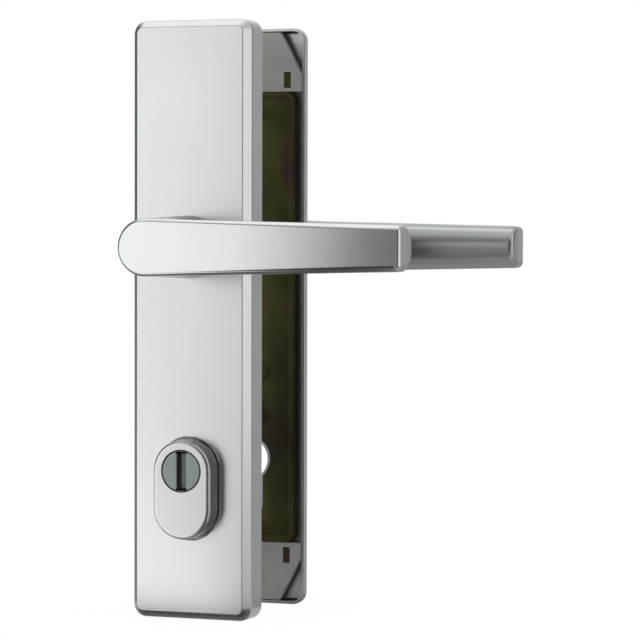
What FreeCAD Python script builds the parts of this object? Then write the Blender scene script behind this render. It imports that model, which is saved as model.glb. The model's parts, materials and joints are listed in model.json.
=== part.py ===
import FreeCAD, Part
import os
from math import asin, atan2, cos, radians, sin, sqrt, tan

# Security door handle set: two long plates that clamp a door between them, a pair of levers
# on one square spindle, and a sliding guard with a turning disc over the lock cylinder.
#
# Millimetres. The origin is where the spindle's axis meets the door's outside face.
# X runs towards the tips of the levers, Y from the outside to the room, and Z up.

V = FreeCAD.Vector

# Door and lock
door_thickness = 49.0
cylinder_drop = 92.0
cylinder_radius = 8.6
cylinder_web = 10.2
cylinder_height = 33.2
spindle_side = 10.0
spindle_length = 120.0
spindle_chamfer = 1.0

# Both plates
plate_width = 53.0
plate_height = 248.0
plate_corner = 5.5
chamfer_width = 2.9
chamfer_depth = 3.6
running_gap = 0.3
running_fit = 0.05

# Outer plate
outer_depth = 14.6
outer_wall = 2.4
outer_face_wall = 2.5
steel_thickness = 3.0
peg_side = 5.0
peg_x = 18.5
peg_inset = 11.5
steel_hole_gap = 1.2
guide_height = 2.0

# Inner plate
inner_depth = 7.2
inner_wall = 1.3
inner_face_wall = 1.2
pan_sheet = 1.9
pan_depth = 4.8
pan_width = 42.4
pan_corner = 3.5
pan_edge = 0.9
collar_wall = 1.0
collar_gap = 0.1
collar_short = 0.4
nub_radius = 3.8
nub_height = 1.2
nub_x = 5.2
nub_rises = (37.7, 19.3)

# Plastic end pieces of the inner plate
insert_thickness = 3.6
top_insert_height = 25.5
bottom_insert_height = 24.9
insert_cut_width = 10.0
insert_cut_height = 18.6
clip_hole_x = 16.4
clip_hole_width = 3.5
clip_hole_height = 6.9
clip_hole_top_edge = 1.6
clip_hole_bottom_edge = 1.9

# Through fixings
fixing_below_pan_top = 8.8
fixing_above_pan_bottom = 5.0
fixing_below_cylinder = 5.9
post_radius = 4.0
post_head_hex = 5.6
post_length = 32.0
post_solid_length = 8.0
screw_radius = 2.5
screw_length = 35.0
screw_head_hex = 4.2
screw_head = 1.0

# Levers
lever_reach = 47.0
lever_length = 108.2
lever_thickness = 15.6
lever_root_height = 23.0
lever_tip_height = 18.2
lever_edge = 1.4
lever_tip_edge = 1.1
lever_round = 8.6
collar_radius = 13.0
elbow_radius = 9.0
lever_travel = 40.0
socket_gap = 0.1
grub_radius = 3.0
grub_length = 6.5
grub_from_plate = 14.0
grub_hex = 3.0
grub_socket_depth = 3.2

# Lever bearings
journal_radius = 9.0
journal_recess = 1.0
bush_flat = 10.5
bush_length = 4.4
inner_bush_length = 4.6
ring_thickness = 1.0
ring_radius = 11.2
ring_opening = 9.0
groove_depth = 0.8

# Return mechanism of the levers
driver_radius = 12.5
driver_thickness = 1.4
driver_key_width = 3.0
driver_key_depth = 1.5
lug_radius = 17.0
lug_half_angle = 10.0
lug_overlap = 1.0
stop_side = 4.0
stop_circle = 15.0
return_strip = 0.7
return_pitch = 1.3
return_turns = 2
return_tail = 4.5
return_hook = 3.0
spring_lug_width = 2.2

# Sliding guard over the lock cylinder
cover_width = 26.2
cover_height = 41.8
cover_projection = 8.6
cover_draft = 0.5
cover_edge = 1.1
cover_wall = 2.2
cover_face_wall = 2.5
cover_flange = 1.5
cover_flange_rim = 1.6
cover_hole_gap = 0.35
ear_height = 7.0
ear_offset = 19.2
ear_width = 6.0
leaf_strip = 0.5
leaf_width = 4.0
leaf_foot = 6.0
leaf_reach = 18.0
leaf_tip = 1.8
leaf_pocket = 0.5
leaf_pocket_spare = 4.5

# Turning disc and the steel guard behind it
disc_radius = 8.65
disc_bore_gap = 0.1
disc_recess = 0.2
disc_flange_radius = 10.0
disc_flange = 2.0
disc_edge = 0.35
key_slot_width = 3.4
key_slot_height = 15.6
key_slot_bevel = 0.5
guard_thickness = 3.0
guard_hole_radius = 8.0
guard_peg_side = 2.6
guard_peg_x = 7.6

# Planes across the door that the pieces share
outer_face = -outer_depth
outer_inside = outer_face + outer_face_wall
steel_front = -steel_thickness
inner_rim = door_thickness
inner_face = inner_rim + inner_depth
inner_inside = inner_face - inner_face_wall
pan_floor = inner_rim + pan_depth - pan_sheet
pan_back = inner_rim + pan_depth
screw_head_top = pan_back + screw_head

# Planes through the bearing of the outer lever
neck_start = running_gap
boss_end = outer_face + bush_length
ring_back = steel_front - socket_gap
ring_front = ring_back - ring_thickness
driver_back = ring_front - socket_gap
driver_front = driver_back - driver_thickness
outer_journal_end = -journal_recess

# Planes through the bearing of the inner lever
inner_bush_end = inner_face - inner_bush_length
inner_journal_end = inner_rim + running_gap

# Planes through the sliding guard
cover_front = outer_face - cover_projection
cover_inside = cover_front + cover_face_wall
flange_front = outer_inside + socket_gap
flange_back = flange_front + cover_flange
disc_front = cover_front + disc_recess
disc_shoulder = cover_inside + socket_gap
disc_back = disc_shoulder + disc_flange
guard_front = disc_back + socket_gap
guard_back = guard_front + guard_thickness
pocket_floor = steel_front + leaf_pocket

# Middle line of the return spring: its first and its outermost radius
return_shift = return_pitch / 4
return_first = journal_radius + running_gap * 2 + return_strip / 2
return_reach = return_first + (return_turns * 2 - 1) * return_pitch / 2 + return_shift

# Heights, from the lock cylinder down to the plates' end and from there up to their top
cylinder_z = -cylinder_drop
cylinder_low = cylinder_z + cylinder_radius - cylinder_height
lower_fixing = cylinder_low - fixing_below_cylinder
pan_bottom = lower_fixing - fixing_above_pan_bottom
plate_bottom = pan_bottom - bottom_insert_height - running_gap * 2 - inner_wall
plate_top = plate_bottom + plate_height
pan_top = plate_top - inner_wall - running_gap * 2 - top_insert_height
upper_fixing = pan_top - fixing_below_pan_top
fixing_heights = (upper_fixing, lower_fixing)
peg_heights = (plate_top - peg_inset, plate_bottom + peg_inset)

# Outline of the sliding guard
cover_radius = cover_width / 2
cover_low_z = cylinder_z - (cover_height - cover_width)
ear_z = (cylinder_z + cover_low_z) / 2


def rod(radius, start, end, x=0.0, z=0.0):
    """Round bar along Y from one plane to another."""
    return Part.makeCylinder(radius, end - start, V(x, start, z), V(0, 1, 0))


def cone(start_radius, end_radius, start, end, x=0.0, z=0.0):
    """Round taper along Y."""
    return Part.makeCone(start_radius, end_radius, end - start, V(x, start, z), V(0, 1, 0))


def block(x, y, z):
    """Box from three pairs of limits."""
    return Part.makeBox(x[1] - x[0], y[1] - y[0], z[1] - z[0], V(x[0], y[0], z[0]))


def line(a, b):
    return Part.makeLine(a, b)


def arc(a, middle, b):
    return Part.Arc(a, middle, b).toShape()


def chain(points):
    return [line(a, b) for a, b in zip(points, points[1:])]


def prism(wire, end):
    """Solid from a flat outline, straight along Y to the given plane."""
    start = wire.BoundBox.YMin
    return Part.Face(wire).extrude(V(0, end - start, 0))


def taper(wires):
    """Solid with straight sides through flat outlines."""
    return Part.makeLoft(wires, True, True)


def one_solid(shape):
    """The shape with the seams of its joins removed."""
    clean = shape.removeSplitter()
    return clean.Solids[0] if len(clean.Solids) == 1 else clean


def rounded_outline(half_width, low, high, corner, y):
    """Upright rectangle with round corners."""
    inner_x = half_width - corner
    slant = corner * sqrt(0.5)
    edges = []
    for x_sign, z_sign in ((1, 1), (-1, 1), (-1, -1), (1, -1)):
        z_edge = high if z_sign > 0 else low
        centre = V(x_sign * inner_x, y, z_edge - z_sign * corner)
        side = centre + V(x_sign * corner, 0, 0)
        middle = centre + V(x_sign * slant, 0, z_sign * slant)
        end = centre + V(0, 0, z_sign * corner)
        first, last = (side, end) if x_sign == z_sign else (end, side)
        if edges:
            edges.append(line(edges[-1].Vertexes[-1].Point, first))
        edges.append(arc(first, middle, last))
    edges.append(line(edges[-1].Vertexes[-1].Point, edges[0].Vertexes[0].Point))
    return Part.Wire(edges)


def plate_outline(inset, y, corner):
    return rounded_outline(plate_width / 2 - inset, plate_bottom + inset, plate_top - inset, corner, y)


def stadium(radius, y):
    """Upright outline with two round ends, about the cylinder and the guard's lower centre."""
    left = V(-radius, y, cover_low_z)
    right = V(radius, y, cylinder_z)
    return Part.Wire([
        arc(right, V(0, y, cylinder_z + radius), V(-radius, y, cylinder_z)),
        line(V(-radius, y, cylinder_z), left),
        arc(left, V(0, y, cover_low_z - radius), V(radius, y, cover_low_z)),
        line(V(radius, y, cover_low_z), right),
    ])


def hexagon(flat_radius, y, x, z):
    """Six-sided outline across Y, from the distance of its flats."""
    corner = flat_radius / cos(radians(30))
    return Part.Wire(Part.makePolygon([
        V(x + corner * cos(radians(a)), y, z + corner * sin(radians(a))) for a in range(0, 361, 60)]))


def cylinder_outline(growth, y):
    """Profile of the lock cylinder: a round barrel over a narrow web, grown all round."""
    radius = cylinder_radius + growth
    half_web = cylinder_web / 2 + growth
    join = cylinder_z - sqrt(radius ** 2 - half_web ** 2)
    low = cylinder_low - growth
    foot = low + half_web
    return Part.Wire([
        arc(V(half_web, y, join), V(0, y, cylinder_z + radius), V(-half_web, y, join)),
        line(V(-half_web, y, join), V(-half_web, y, foot)),
        arc(V(-half_web, y, foot), V(0, y, low), V(half_web, y, foot)),
        line(V(half_web, y, foot), V(half_web, y, join)),
    ])


def edges_in_plane(shape, y):
    """Edges that lie wholly in one plane across Y."""
    near = 0.01
    return [e for e in shape.Edges if abs(e.BoundBox.YMin - y) < near and abs(e.BoundBox.YMax - y) < near]


# Plates and what they hold

def plate_nose(inset, face, shoulder, corner, slant):
    """Plate outline that narrows by the slant towards its face, with a cone at each corner."""
    half = plate_width / 2 - inset
    low = plate_bottom + inset
    high = plate_top - inset
    blocks = []
    for inner_x, inner_z in ((corner, 0), (0, corner)):
        rims = []
        for y, step in ((shoulder, 0), (face, slant)):
            x = half - (inner_x or step)
            bottom = low + (inner_z or step)
            top = high - (inner_z or step)
            rims.append(Part.Wire(chain([V(-x, y, bottom), V(x, y, bottom), V(x, y, top), V(-x, y, top),
                                         V(-x, y, bottom)])))
        blocks.append(taper(rims))
    narrow = corner - slant
    for x in (corner - half, half - corner):
        for z in (low + corner, high - corner):
            start, end = min(face, shoulder), max(face, shoulder)
            radii = (narrow, corner) if face < shoulder else (corner, narrow)
            blocks.append(cone(radii[0], radii[1], start, end, x, z))
    return blocks[0].fuse(blocks[1:]).removeSplitter()


def plate_shell(face, rim, wall, face_wall):
    """Thin tray with a chamfer round its face and its open side at the rim."""
    inward = 1 if rim > face else -1
    shoulder = face + inward * chamfer_depth
    inside = face + inward * face_wall
    body = prism(plate_outline(0, shoulder, plate_corner), rim)
    nose = plate_nose(0, face, shoulder, plate_corner, chamfer_width)
    inner_corner = plate_corner - wall
    hollow = prism(plate_outline(wall, shoulder, inner_corner), rim)
    slant = chamfer_width * (chamfer_depth - face_wall) / chamfer_depth
    tip = plate_nose(wall, inside, shoulder, inner_corner, slant)
    return body.fuse(nose).removeSplitter().cut(hollow.fuse(tip).removeSplitter())


def outer_cover():
    """Cast face plate of the outside, with the boss, guides and pegs inside it."""
    shell = plate_shell(outer_face, 0.0, outer_wall, outer_face_wall)
    boss = prism(hexagon(bush_flat + outer_wall, outer_inside, 0, 0), boss_end)
    solid = shell.fuse([boss, spring_lug()] + guides() + pegs(0))
    solid = solid.cut(prism(hexagon(bush_flat + running_fit, outer_face, 0, 0), boss_end))
    opening = prism(stadium(cover_radius + cover_hole_gap, outer_face), outer_inside)
    return one_solid(solid.cut(opening))


def guides():
    """Small blocks inside the outer cover that guide the flange and ears of the sliding guard."""
    near = cover_radius + cover_flange_rim + running_gap
    far = ear_offset - leaf_width / 2 - running_gap
    low = ear_height / 2 + running_gap
    made = []
    for side in (-1, 1):
        for up in (-1, 1):
            z = sorted((ear_z + up * low, ear_z + up * (low + guide_height)))
            made.append(block(sorted((side * near, side * far)), (outer_inside, steel_front), z))
    return made


def pegs(growth):
    """Square pegs of the outer cover, riveted flush in the steel plate's square holes."""
    half = peg_side / 2 + growth
    return [block((x - half, x + half), (outer_inside, 0), (z - half, z + half))
            for x in (-peg_x, peg_x) for z in peg_heights]


def spring_lug():
    """Small block inside the outer cover that the return spring hooks behind."""
    near = running_fit - return_tail
    low = return_reach + return_strip
    return block((near, near + spring_lug_width), (outer_inside, driver_front - running_gap),
                 (low, low + return_hook))


def outer_steel_plate():
    """Hardened plate behind the outer cover, which carries the fixing posts."""
    inset = outer_wall + running_gap
    solid = prism(plate_outline(inset, steel_front, plate_corner - outer_wall), 0.0)
    journal_hole = journal_radius + steel_hole_gap
    holes = [block((-journal_hole, journal_hole), (steel_front, 0), (-journal_hole, journal_hole)),
             prism(cylinder_outline(0, steel_front), 0.0)]
    holes += [post_head(z, running_fit) for z in fixing_heights]
    holes += pegs(running_fit)
    holes += stop_bodies()
    foot_end = ear_z - leaf_reach
    foot_span = (foot_end - leaf_foot - running_gap, foot_end + leaf_pocket_spare)
    half = leaf_width / 2 + running_gap
    for x in (-ear_offset, ear_offset):
        holes.append(block((x - half, x + half), (steel_front, pocket_floor), foot_span))
    return one_solid(solid.cut(holes))


def post_head(z, growth):
    """Six-sided head of a fixing post, pressed into the steel plate."""
    return prism(hexagon(post_head_hex + growth, steel_front, 0, z), 0.0)


def fixing_posts():
    """Threaded posts that reach into the door from the steel plate."""
    made = []
    for z in fixing_heights:
        post = post_head(z, 0).fuse(rod(post_radius, 0, post_length, 0, z))
        bore = rod(screw_radius + running_fit, post_solid_length, post_length, 0, z)
        made.append(one_solid(post.cut(bore)))
    return Part.makeCompound(made)


def inner_cover():
    """Thin face plate of the room side, with a collar round the cylinder's hole."""
    shell = plate_shell(inner_face, inner_rim, inner_wall, inner_face_wall)
    collar_end = pan_floor - collar_short
    collar = prism(cylinder_outline(collar_wall, collar_end), inner_inside)
    solid = shell.fuse(collar)
    solid = solid.cut(prism(cylinder_outline(0, collar_end), inner_face))
    return one_solid(solid.cut(prism(hexagon(bush_flat + running_fit, inner_inside, 0, 0), inner_face)))


def inner_pan():
    """Pressed steel tray under the inner cover, with its lips against the door."""
    half = pan_width / 2
    tray = prism(rounded_outline(half, pan_bottom, pan_top, pan_corner, inner_rim), pan_back)
    tray = tray.makeChamfer(pan_edge, edges_in_plane(tray, pan_back))
    inside = rounded_outline(half - pan_sheet, pan_bottom + pan_sheet, pan_top - pan_sheet,
                             pan_corner - pan_sheet, inner_rim)
    tray = tray.cut(prism(inside, pan_floor))
    tray = tray.fuse([nub(x, cylinder_z + rise) for x in (-nub_x, nub_x) for rise in nub_rises])
    holes = [rod(screw_radius + running_fit, pan_floor, pan_back, 0, z) for z in fixing_heights]
    holes.append(prism(cylinder_outline(collar_wall + collar_gap, pan_floor), pan_back))
    holes.append(prism(hexagon(bush_flat + running_fit, pan_floor, 0, 0), pan_back))
    return one_solid(tray.cut(holes))


def nub(x, z):
    """Pressed nub of the tray: a low six-sided stub that meets the door."""
    return taper([hexagon(nub_radius, pan_floor, x, z),
                  hexagon(nub_radius - nub_height / 2, pan_floor - nub_height, x, z)])


def fixing_screws():
    """Thin headed screws from the inner tray into the posts, under the inner cover."""
    made = []
    for z in fixing_heights:
        shank = rod(screw_radius, screw_head_top - screw_length, pan_back, 0, z)
        head = prism(hexagon(screw_head_hex, pan_back, 0, z), screw_head_top)
        made.append(one_solid(shank.fuse(head)))
    return Part.makeCompound(made)


def end_insert(edge, end, clip_edge):
    """Plastic end piece between the tray and one end of the inner cover.

    edge is the side by the tray, end the side by the plate's end, both as heights.
    The two outer corners are cut off on a slant.
    """
    half = plate_width / 2 - inner_wall - running_gap
    up = 1 if end > edge else -1
    cut_x = half - insert_cut_width
    cut_z = end - up * insert_cut_height
    corners = [V(half, inner_rim, edge), V(half, inner_rim, cut_z), V(cut_x, inner_rim, end),
               V(-cut_x, inner_rim, end), V(-half, inner_rim, cut_z), V(-half, inner_rim, edge)]
    outline = Part.Wire(Part.makePolygon(corners + corners[:1]))
    solid = prism(outline, inner_rim + insert_thickness)
    near = edge + up * clip_edge
    far = near + up * clip_hole_height
    for sign in (-1, 1):
        x = sorted((sign * clip_hole_x, sign * (clip_hole_x + clip_hole_width)))
        solid = solid.cut(block(x, (inner_rim, inner_rim + insert_thickness), sorted((near, far))))
    return solid


def top_insert():
    end = plate_top - inner_wall - running_gap
    return end_insert(pan_top + running_gap, end, clip_hole_top_edge)


def bottom_insert():
    end = plate_bottom + inner_wall + running_gap
    return end_insert(pan_bottom - running_gap, end, clip_hole_bottom_edge)


# Levers and their bearings

def lean():
    """Slant in radians of the grip's long sides, which touch its round end."""
    root = lever_root_height / 2
    tip = lever_tip_height / 2
    return asin(root / sqrt(lever_length ** 2 + tip ** 2)) - atan2(tip, lever_length)


def grip(face, towards_door):
    """Tapered bar with a flat face, small front edges and large rounds along its back."""
    root = lever_root_height / 2
    tip = lever_tip_height / 2
    touch_x = root * sin(lean())
    touch_z = root * cos(lean())
    back = face + towards_door * lever_thickness
    corners = [V(touch_x, face, touch_z), V(lever_length, face, tip), V(lever_length, face, -tip),
               V(touch_x, face, -touch_z)]
    bar = prism(Part.Wire(chain(corners + corners[:1])), back)
    long_back = [e for e in edges_in_plane(bar, back) if e.BoundBox.XLength > lever_length / 2]
    bar = bar.makeFillet(lever_round, long_back)
    bar = bar.fuse(rod(root, min(face, back), max(face, back))).removeSplitter()
    rim = [e for e in edges_in_plane(bar, face) if e.BoundBox.XMin < lever_length / 2]
    bar = bar.makeChamfer(lever_edge, rim)
    tip_edges = [e for e in bar.Edges if e.BoundBox.XMin > lever_length - 0.01]
    return bar.makeChamfer(lever_tip_edge, tip_edges)


def elbow(face, towards_door):
    """Strut that fills the inner corner between the neck and the grip, slanting both ways alike."""
    root = lever_root_height / 2
    grip_back = face + towards_door * lever_thickness
    slant = sqrt(0.5)
    along = V(slant, -towards_door * slant, 0)
    inward = V(-slant, -towards_door * slant, 0)
    corner_middle = V(root + elbow_radius / 2, grip_back + towards_door * elbow_radius / 2, 0)
    start = corner_middle + inward * lever_round - along * elbow_radius
    return Part.makeCylinder(lever_round, elbow_radius * 2, start, along)


def handle(plate_face, towards_door):
    """Grip, elbow and tapered neck of one lever, standing on the given plate face."""
    face = plate_face - towards_door * lever_reach
    neck_base = plate_face - towards_door * neck_start
    taper_end = face + towards_door * (lever_thickness + elbow_radius)
    root = lever_root_height / 2
    outward = V(0, -towards_door, 0)
    neck = Part.makeCone(collar_radius, root, abs(taper_end - neck_base), V(0, neck_base, 0), outward)
    throat = Part.makeCylinder(root, elbow_radius, V(0, taper_end, 0), outward)
    return grip(face, towards_door).fuse([neck, throat, elbow(face, towards_door)])


def square_socket(start, end):
    half = spindle_side / 2 + socket_gap
    return block((-half, half), (start, end), (-half, half))


def outer_lever():
    """Outside lever with its bearing journal, spindle socket, key slots and ring groove."""
    journal = rod(journal_radius, outer_face - neck_start, outer_journal_end)
    solid = handle(outer_face, 1).fuse(journal)
    solid = solid.cut(square_socket(spindle_start() - running_gap, outer_journal_end))
    groove_span = (ring_front - running_fit, ring_back + running_fit)
    groove = rod(ring_radius, *groove_span).cut(rod(journal_radius - groove_depth, *groove_span))
    solid = solid.cut(groove)
    for key in driver_keys(running_fit, boss_end + running_gap, outer_journal_end):
        solid = solid.cut(key)
    return solid.Solids[0]


def inner_lever():
    """Room side lever with its journal, spindle socket and grub screw hole."""
    journal = rod(journal_radius, inner_journal_end, inner_face + neck_start)
    solid = handle(inner_face, -1).fuse(journal)
    solid = solid.cut(square_socket(inner_journal_end, spindle_start() + spindle_length + running_gap))
    return solid.cut(grub_body(grub_radius + running_fit, collar_radius)).Solids[0]


def spindle_start():
    return outer_face - neck_start - (spindle_length - door_thickness - outer_depth - inner_depth) / 2


def spindle():
    """Square bar that turns the lock, with its four long corners cut."""
    half = spindle_side / 2
    bar = block((-half, half), (spindle_start(), spindle_start() + spindle_length), (-half, half))
    long_edges = [e for e in bar.Edges if e.BoundBox.YLength > spindle_length / 2]
    return bar.makeChamfer(spindle_chamfer, long_edges)


def grub_body(radius, length):
    middle = inner_face + grub_from_plate
    start = spindle_side / 2 + running_fit
    return Part.makeCylinder(radius, length, V(0, middle, -start), V(0, 0, -1))


def grub_screw():
    """Set screw that holds the inner lever on the spindle, from below."""
    body = grub_body(grub_radius, grub_length)
    middle = inner_face + grub_from_plate
    low = -spindle_side / 2 - running_fit - grub_length
    flat = grub_hex / sqrt(3)
    socket = Part.Wire(Part.makePolygon([
        V(flat * cos(radians(a)), middle + flat * sin(radians(a)), low) for a in range(0, 361, 60)]))
    return body.cut(Part.Face(socket).extrude(V(0, 0, grub_socket_depth)))


def bush(start, end):
    """Plastic bearing with a six-sided outside, pressed into a plate round a lever's journal."""
    return prism(hexagon(bush_flat, start, 0, 0), end).cut(rod(journal_radius + running_fit, start, end))


def outer_bushing():
    return bush(outer_face, boss_end)


def inner_bushing():
    return bush(inner_bush_end, inner_face)


def retaining_ring():
    """Open spring ring in the groove of the outer journal, with its gap below."""
    ring = rod(ring_radius, ring_front, ring_back)
    ring = ring.cut(rod(journal_radius - groove_depth + running_fit, ring_front, ring_back))
    half = ring_opening / 2
    return one_solid(ring.cut(block((-half, half), (ring_front, ring_back), (-ring_radius, 0))))


# Return mechanism

def driver_keys(growth, start, end):
    """Two small bars that lock the driver to the journal, above and below the axis."""
    half = driver_key_width / 2 + growth
    low = journal_radius - driver_key_depth - growth
    return [block((-half, half), (start - growth, end), sorted((sign * low, sign * driver_radius)))
            for sign in (-1, 1)]


def driver_plate():
    """Eight-sided plate that turns with the outer lever and carries the stop lug."""
    outline = Part.makePolygon([
        V(driver_radius * cos(radians(a)), driver_front, driver_radius * sin(radians(a)))
        for a in range(0, 361, 45)])
    plate = prism(Part.Wire(outline), driver_back)
    inner = driver_radius - lug_overlap
    low = inner * tan(radians(lug_half_angle))
    high = lug_radius * tan(radians(lug_half_angle))
    lug = chain([V(-inner, driver_front, -low), V(-inner, driver_front, low), V(-lug_radius, driver_front, high),
                 V(-lug_radius, driver_front, -high), V(-inner, driver_front, -low)])
    plate = plate.fuse(prism(Part.Wire(lug), driver_back))
    bore = rod(journal_radius + running_fit, driver_front, driver_back)
    for key in driver_keys(0, driver_front, driver_back):
        bore = bore.cut(key)
    return one_solid(plate.cut(bore))


def stop_bodies():
    """Square studs that the lug meets flat, one at rest and one at the end of its travel."""
    near = stop_circle - stop_side / 2
    made = []
    for angle, beyond in ((180 + lug_half_angle, 1), (180 - lever_travel - lug_half_angle, -1)):
        z = sorted((beyond * running_gap, beyond * (running_gap + stop_side)))
        stud = block((near, near + stop_side), (driver_front, 0), z)
        made.append(stud.rotate(V(0, 0, 0), V(0, 1, 0), -angle))
    return made


def stop_studs():
    return Part.makeCompound(stop_bodies())


def return_spring():
    """Flat spring wound round the journal, which lifts the levers.

    It is drawn from half circles. Their centres change sides, and the radius grows by half a
    pitch from one to the next. The inner tail sits in the journal's upper slot, and the outer
    tail hooks behind a lug of the outer cover.
    """
    y = boss_end + running_gap
    half_strip = return_strip / 2
    edges = []
    for half_turn in range(return_turns * 2):
        up = 1 if half_turn % 2 == 0 else -1
        middle = -up * return_shift
        for growth in (half_strip, -half_strip):
            r = return_first + half_turn * return_pitch / 2 + growth
            edges.append(arc(V(middle + r, y, 0), V(middle, y, up * r), V(middle - r, y, 0)))
    near = return_first - return_shift
    slot = journal_radius - driver_key_depth
    edges += chain([V(near - half_strip, y, 0), V(slot, y, 0), V(slot, y, -return_strip),
                    V(near + half_strip, y, -return_strip), V(near + half_strip, y, 0)])
    far = return_reach
    hook = far + half_strip + return_hook
    end = return_tail + return_strip
    edges += chain([V(far - half_strip, y, 0), V(far - half_strip, y, end), V(hook, y, end),
                    V(hook, y, return_tail), V(far + half_strip, y, return_tail), V(far + half_strip, y, 0)])
    spring = prism(Part.Wire(Part.sortEdges(edges)[0]), driver_front - running_gap)
    return spring.rotate(V(0, 0, 0), V(0, 1, 0), -90)


def leaf_side(x, growth):
    """One long side of a leaf spring: foot, two arcs that rise to the guard's ear, and tip."""
    low = pocket_floor - leaf_strip / 2
    top = flange_back + leaf_strip / 2
    rise = low - top
    radius = (leaf_reach ** 2 + rise ** 2) / (4 * rise)
    angle = asin(leaf_reach / 2 / radius)
    start = ear_z - leaf_reach

    def rising(share):
        r = radius + growth
        return V(x, low - radius + r * cos(angle * share), start + r * sin(angle * share))

    def levelling(share):
        r = radius - growth
        return V(x, top + radius - r * cos(angle * share), ear_z - r * sin(angle * share))

    foot = V(x, low + growth, start - leaf_foot)
    tip = V(x, top + growth, ear_z + leaf_tip)
    edges = [line(foot, rising(0)), arc(rising(0), rising(0.5), rising(1)),
             arc(levelling(1), levelling(0.5), levelling(0)), line(levelling(0), tip)]
    return edges, foot, tip


def leaf_springs():
    """Two bent strips that push the guard outwards from the steel plate."""
    made = []
    for middle in (-ear_offset, ear_offset):
        x = middle - leaf_width / 2
        back, back_foot, back_tip = leaf_side(x, leaf_strip / 2)
        front, front_foot, front_tip = leaf_side(x, -leaf_strip / 2)
        ends = [line(back_foot, front_foot), line(back_tip, front_tip)]
        outline = Part.Wire(Part.sortEdges(back + front + ends)[0])
        made.append(Part.Face(outline).extrude(V(leaf_width, 0, 0)))
    return Part.makeCompound(made)


# Sliding guard over the lock cylinder

def drafted_boss():
    """Outer form of the guard: two cones with a slanted block between them."""
    radius = cover_radius - cover_draft
    ends = [cone(radius, cover_radius, cover_front, flange_front, 0, z) for z in (cylinder_z, cover_low_z)]
    rims = []
    for half, y in ((radius, cover_front), (cover_radius, flange_front)):
        rims.append(Part.Wire(chain([V(-half, y, cover_low_z), V(half, y, cover_low_z), V(half, y, cylinder_z),
                                     V(-half, y, cylinder_z), V(-half, y, cover_low_z)])))
    return taper(rims).fuse(ends).removeSplitter()


def cylinder_cover():
    """Cast guard: a tapered boss with round ends, and a flange behind the outer plate."""
    boss = drafted_boss()
    boss = boss.makeChamfer(cover_edge, edges_in_plane(boss, cover_front))
    rim = cover_radius + cover_flange_rim
    flange = block((-rim, rim), (flange_front, flange_back), (cover_low_z - rim, cylinder_z + rim))
    ear_reach = ear_offset + ear_width / 2
    ears = block((-ear_reach, ear_reach), (flange_front, flange_back),
                 (ear_z - ear_height / 2, ear_z + ear_height / 2))
    solid = boss.fuse([flange, ears])
    solid = solid.cut(prism(stadium(cover_radius - cover_wall, cover_inside), flange_back))
    solid = solid.fuse(guard_pegs(0))
    bore = rod(disc_radius + disc_bore_gap, cover_front, cover_inside, 0, cylinder_z)
    return one_solid(solid.cut(bore))


def guard_pegs(growth):
    """Square pegs inside the guard, riveted flush in the hardened plate's holes."""
    half = guard_peg_side / 2 + growth
    z = cover_low_z
    return [block((x - half, x + half), (cover_inside, guard_back), (z - half, z + half))
            for x in (-guard_peg_x, guard_peg_x)]


def cover_guard_plate():
    """Hardened plate inside the guard that keeps the turning disc in."""
    solid = prism(stadium(cover_radius - cover_wall - running_fit, guard_front), guard_back)
    solid = solid.cut(rod(guard_hole_radius, guard_front, guard_back, 0, cylinder_z))
    return solid.cut(guard_pegs(running_fit))


def rotor_disc():
    """Turning steel disc with the key slot, kept by its flange behind the guard's face."""
    front = rod(disc_radius, disc_front, disc_shoulder, 0, cylinder_z)
    front = front.makeChamfer(disc_edge, edges_in_plane(front, disc_front))
    disc = front.fuse(rod(disc_flange_radius, disc_shoulder, disc_back, 0, cylinder_z))
    half_width = key_slot_width / 2
    half_height = key_slot_height / 2
    slot = block((-half_width, half_width), (disc_front, disc_back),
                 (cylinder_z - half_height, cylinder_z + half_height))
    rim = []
    for growth, y in ((key_slot_bevel, disc_front), (0, disc_front + key_slot_bevel)):
        x = half_width + growth
        z = half_height
        rim.append(Part.Wire(Part.makePolygon([
            V(-x, y, cylinder_z - z), V(x, y, cylinder_z - z), V(x, y, cylinder_z + z),
            V(-x, y, cylinder_z + z), V(-x, y, cylinder_z - z)])))
    return one_solid(disc.cut(slot).cut(taper(rim)))


nodes = {
    "outer_cover": outer_cover,
    "outer_steel_plate": outer_steel_plate,
    "fixing_posts": fixing_posts,
    "stop_studs": stop_studs,
    "outer_bushing": outer_bushing,
    "return_spring": return_spring,
    "leaf_springs": leaf_springs,
    "inner_cover": inner_cover,
    "inner_pan": inner_pan,
    "top_insert": top_insert,
    "bottom_insert": bottom_insert,
    "inner_bushing": inner_bushing,
    "fixing_screws": fixing_screws,
    "outer_lever": outer_lever,
    "inner_lever": inner_lever,
    "spindle": spindle,
    "driver_plate": driver_plate,
    "retaining_ring": retaining_ring,
    "grub_screw": grub_screw,
    "cylinder_cover": cylinder_cover,
    "cover_guard_plate": cover_guard_plate,
    "rotor_disc": rotor_disc,
}

os.makedirs("parts", exist_ok=True)
for name, make in nodes.items():
    shape = make()
    shape.exportStep("parts/" + name + ".step")
    print(name, len(shape.Solids), "solids", round(shape.Volume), "mm3", "valid", shape.isValid())
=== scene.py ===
# %% [markdown]
# # A security door handle set in satin aluminium
#
# The object is a pair of long backplates that clamp a door, with a lever on each side and a
# sliding guard over the lock cylinder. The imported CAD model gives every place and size, and it
# also says which pieces move. This script dresses it: it builds the visible forms again with soft
# edges, gives every piece its metal or plastic, and sets a plain studio round it.

import json
from math import asin, atan2, cos, hypot, sin, sqrt

import bmesh
import bpy
import numpy as np
from mathutils import Matrix, Vector, geometry


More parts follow.
